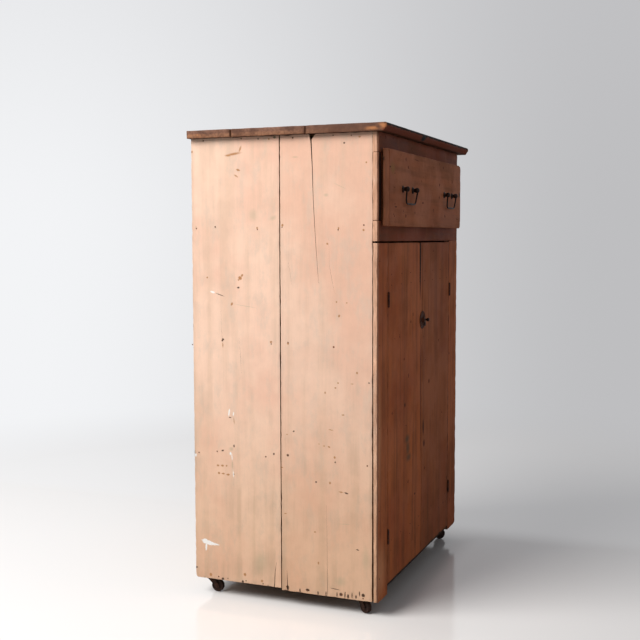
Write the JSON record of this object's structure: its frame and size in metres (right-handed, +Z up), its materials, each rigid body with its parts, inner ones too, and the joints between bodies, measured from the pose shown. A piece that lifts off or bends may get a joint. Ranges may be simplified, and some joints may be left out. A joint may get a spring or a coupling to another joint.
{
  "type": "bakers cabinet",
  "caption": "Tall painted pine cupboard on swivel casters with a plank top, one wide drawer with bail pulls and a pair of doors with a turn latch.",
  "frame": {"origin": "on the floor, in the middle of the bounding box, which runs from the bail pulls to the back of the top and over both end overhangs of the top", "axes": "+Z up, +X to the right of someone facing the doors, +Y to the back"},
  "size_m": [0.878, 0.614, 1.337],
  "materials": {
    "side_paint": "worn salmon paint over pine",
    "front_paint": "grimy worn salmon paint over pine",
    "stained_top": "dark stained, worn at the edges",
    "bare_pine": "aged, unpainted",
    "dark_iron": "dark, worn",
    "caster_iron": "rusted",
    "caster_wheel": "dark turned wood"
  },
  "bodies": {
    "cabinet": {"left_side_front_board": "side_paint", "left_side_rear_board": "side_paint", "right_side_front_board": "side_paint", "right_side_rear_board": "side_paint", "back_board_left": "bare_pine", "back_board_middle": "bare_pine", "back_board_right": "bare_pine", "bottom_board_front": "bare_pine", "bottom_board_back": "bare_pine", "top_board_front": "stained_top", "top_board_middle": "stained_top", "top_board_back": "stained_top", "top_battens": "bare_pine", "shelf_lower": "bare_pine", "shelf_upper": "bare_pine", "shelf_cleats": "bare_pine", "top_rail": "front_paint", "middle_rail": "front_paint", "drawer_stile_left": "front_paint", "drawer_stile_right": "front_paint", "door_stile_left": "front_paint", "door_stile_right": "front_paint", "stile_hinge_leaves": "dark_iron", "hinge_pins": "dark_iron", "drawer_runner_left": "bare_pine", "drawer_runner_right": "bare_pine", "caster_plates": "caster_iron"},
    "drawer": {"drawer_front": "front_paint", "drawer_side_left": "bare_pine", "drawer_side_right": "bare_pine", "drawer_back": "bare_pine", "drawer_bottom": "bare_pine", "pull_posts": "dark_iron"},
    "left_pull": {"left_bail": "dark_iron"},
    "right_pull": {"right_bail": "dark_iron"},
    "left_door": {"left_door_panel": "front_paint", "left_door_ledges": "bare_pine", "left_door_hinge_leaves": "dark_iron", "latch_keeper": "dark_iron"},
    "right_door": {"right_door_panel": "front_paint", "right_door_ledges": "bare_pine", "right_door_hinge_leaves": "dark_iron", "latch_plate": "dark_iron"},
    "knob": {"latch_knob": "dark_iron", "latch_tongue": "dark_iron"},
    "front_left_swivel": {"front_left_caster_fork": "caster_iron", "front_left_caster_axle": "caster_iron"},
    "front_left_wheel": {"front_left_caster_wheel": "caster_wheel"},
    "front_right_swivel": {"front_right_caster_fork": "caster_iron", "front_right_caster_axle": "caster_iron"},
    "front_right_wheel": {"front_right_caster_wheel": "caster_wheel"},
    "rear_left_swivel": {"rear_left_caster_fork": "caster_iron", "rear_left_caster_axle": "caster_iron"},
    "rear_left_wheel": {"rear_left_caster_wheel": "caster_wheel"},
    "rear_right_swivel": {"rear_right_caster_fork": "caster_iron", "rear_right_caster_axle": "caster_iron"},
    "rear_right_wheel": {"rear_right_caster_wheel": "caster_wheel"}
  },
  "joints": [
    {"name": "drawer_slide", "type": "slide", "parent": "cabinet", "child": "drawer", "axis": [0, -1, 0], "range_m": [-0.0045, 0.38]},
    {"name": "left_bail_hinge", "type": "hinge", "parent": "drawer", "child": "left_pull", "pos_m": [-0.243, -0.3005, 1.1685], "axis": [-1, 0, 0], "range_deg": [-8, 90]},
    {"name": "right_bail_hinge", "type": "hinge", "parent": "drawer", "child": "right_pull", "pos_m": [0.187, -0.3005, 1.1685], "axis": [-1, 0, 0], "range_deg": [-8, 90]},
    {"name": "left_door_hinge", "type": "hinge", "parent": "cabinet", "child": "left_door", "pos_m": [-0.345, -0.2652, 0.5355], "axis": [0, 0, -1], "range_deg": [0, 165]},
    {"name": "right_door_hinge", "type": "hinge", "parent": "cabinet", "child": "right_door", "pos_m": [0.295, -0.2652, 0.5355], "axis": [0, 0, 1], "range_deg": [0, 165]},
    {"name": "latch_knob_turn", "type": "hinge", "parent": "right_door", "child": "knob", "pos_m": [-0.003, -0.2675, 0.787], "axis": [0, 1, 0], "range_deg": [0, 90]},
    {"name": "front_left_swivel_turn", "type": "hinge", "parent": "cabinet", "child": "front_left_swivel", "pos_m": [-0.388, -0.2, 0.0427], "axis": [0, 0, 1], "continuous": true},
    {"name": "front_left_wheel_spin", "type": "hinge", "parent": "front_left_swivel", "child": "front_left_wheel", "pos_m": [-0.39739, -0.21766, 0.0185], "axis": [0.8829, -0.4695, 0], "continuous": true},
    {"name": "front_right_swivel_turn", "type": "hinge", "parent": "cabinet", "child": "front_right_swivel", "pos_m": [0.358, -0.2, 0.0427], "axis": [0, 0, 1], "continuous": true},
    {"name": "front_right_wheel_spin", "type": "hinge", "parent": "front_right_swivel", "child": "front_right_wheel", "pos_m": [0.36947, -0.21638, 0.0185], "axis": [0.8192, 0.5736, 0], "continuous": true},
    {"name": "rear_left_swivel_turn", "type": "hinge", "parent": "cabinet", "child": "rear_left_swivel", "pos_m": [-0.388, 0.265, 0.0427], "axis": [0, 0, 1], "continuous": true},
    {"name": "rear_left_wheel_spin", "type": "hinge", "parent": "rear_left_swivel", "child": "rear_left_wheel", "pos_m": [-0.388, 0.245, 0.0185], "axis": [1, 0, 0], "continuous": true},
    {"name": "rear_right_swivel_turn", "type": "hinge", "parent": "cabinet", "child": "rear_right_swivel", "pos_m": [0.358, 0.265, 0.0427], "axis": [0, 0, 1], "continuous": true},
    {"name": "rear_right_wheel_spin", "type": "hinge", "parent": "rear_right_swivel", "child": "rear_right_wheel", "pos_m": [0.36284, 0.24559, 0.0185], "axis": [0.9703, 0.2419, 0], "continuous": true}
  ]
}
